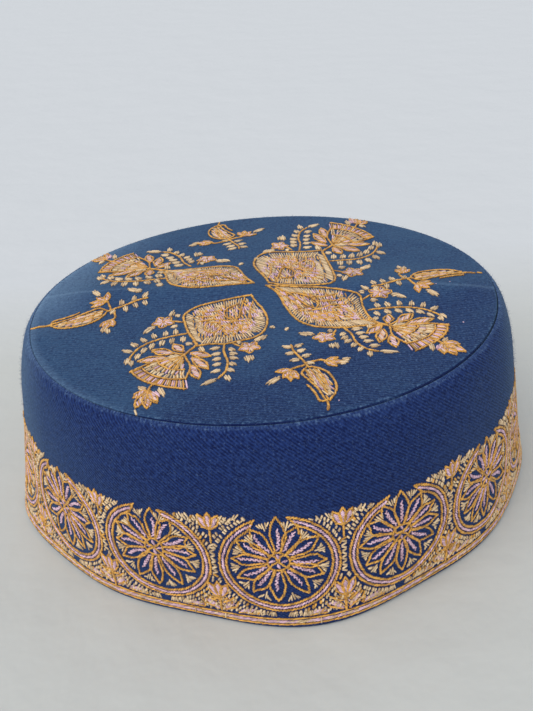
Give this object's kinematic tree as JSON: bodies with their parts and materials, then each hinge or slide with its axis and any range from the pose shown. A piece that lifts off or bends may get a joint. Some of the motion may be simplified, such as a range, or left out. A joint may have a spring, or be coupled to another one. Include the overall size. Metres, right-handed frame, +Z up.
{
  "type": "kashmiri cap",
  "caption": "Round flat-topped cloth cap with a deep side wall, an open hollow for the head and an embroidered lower band.",
  "frame": {"origin": "centre of the rim, on the surface that the rim rests on", "axes": "+Z up through the crown, -Y towards the side shown in front, +X to that side's right"},
  "size_m": [0.2044, 0.1856, 0.0805],
  "materials": {
    "wall_cloth": "navy wool twill, matt, with a band of ochre, pink and cream thread work",
    "crown_cloth": "faded navy wool cloth, matt, with sprays of ochre, pink and cream thread work",
    "ochre_thread": "golden ochre embroidery thread, softly shining",
    "pink_thread": "lilac pink embroidery thread, softly shining",
    "cream_thread": "cream embroidery thread, softly shining"
  },
  "bodies": {
    "root": {"side_wall": "wall_cloth", "crown": "crown_cloth"}
  },
  "joints": []
}
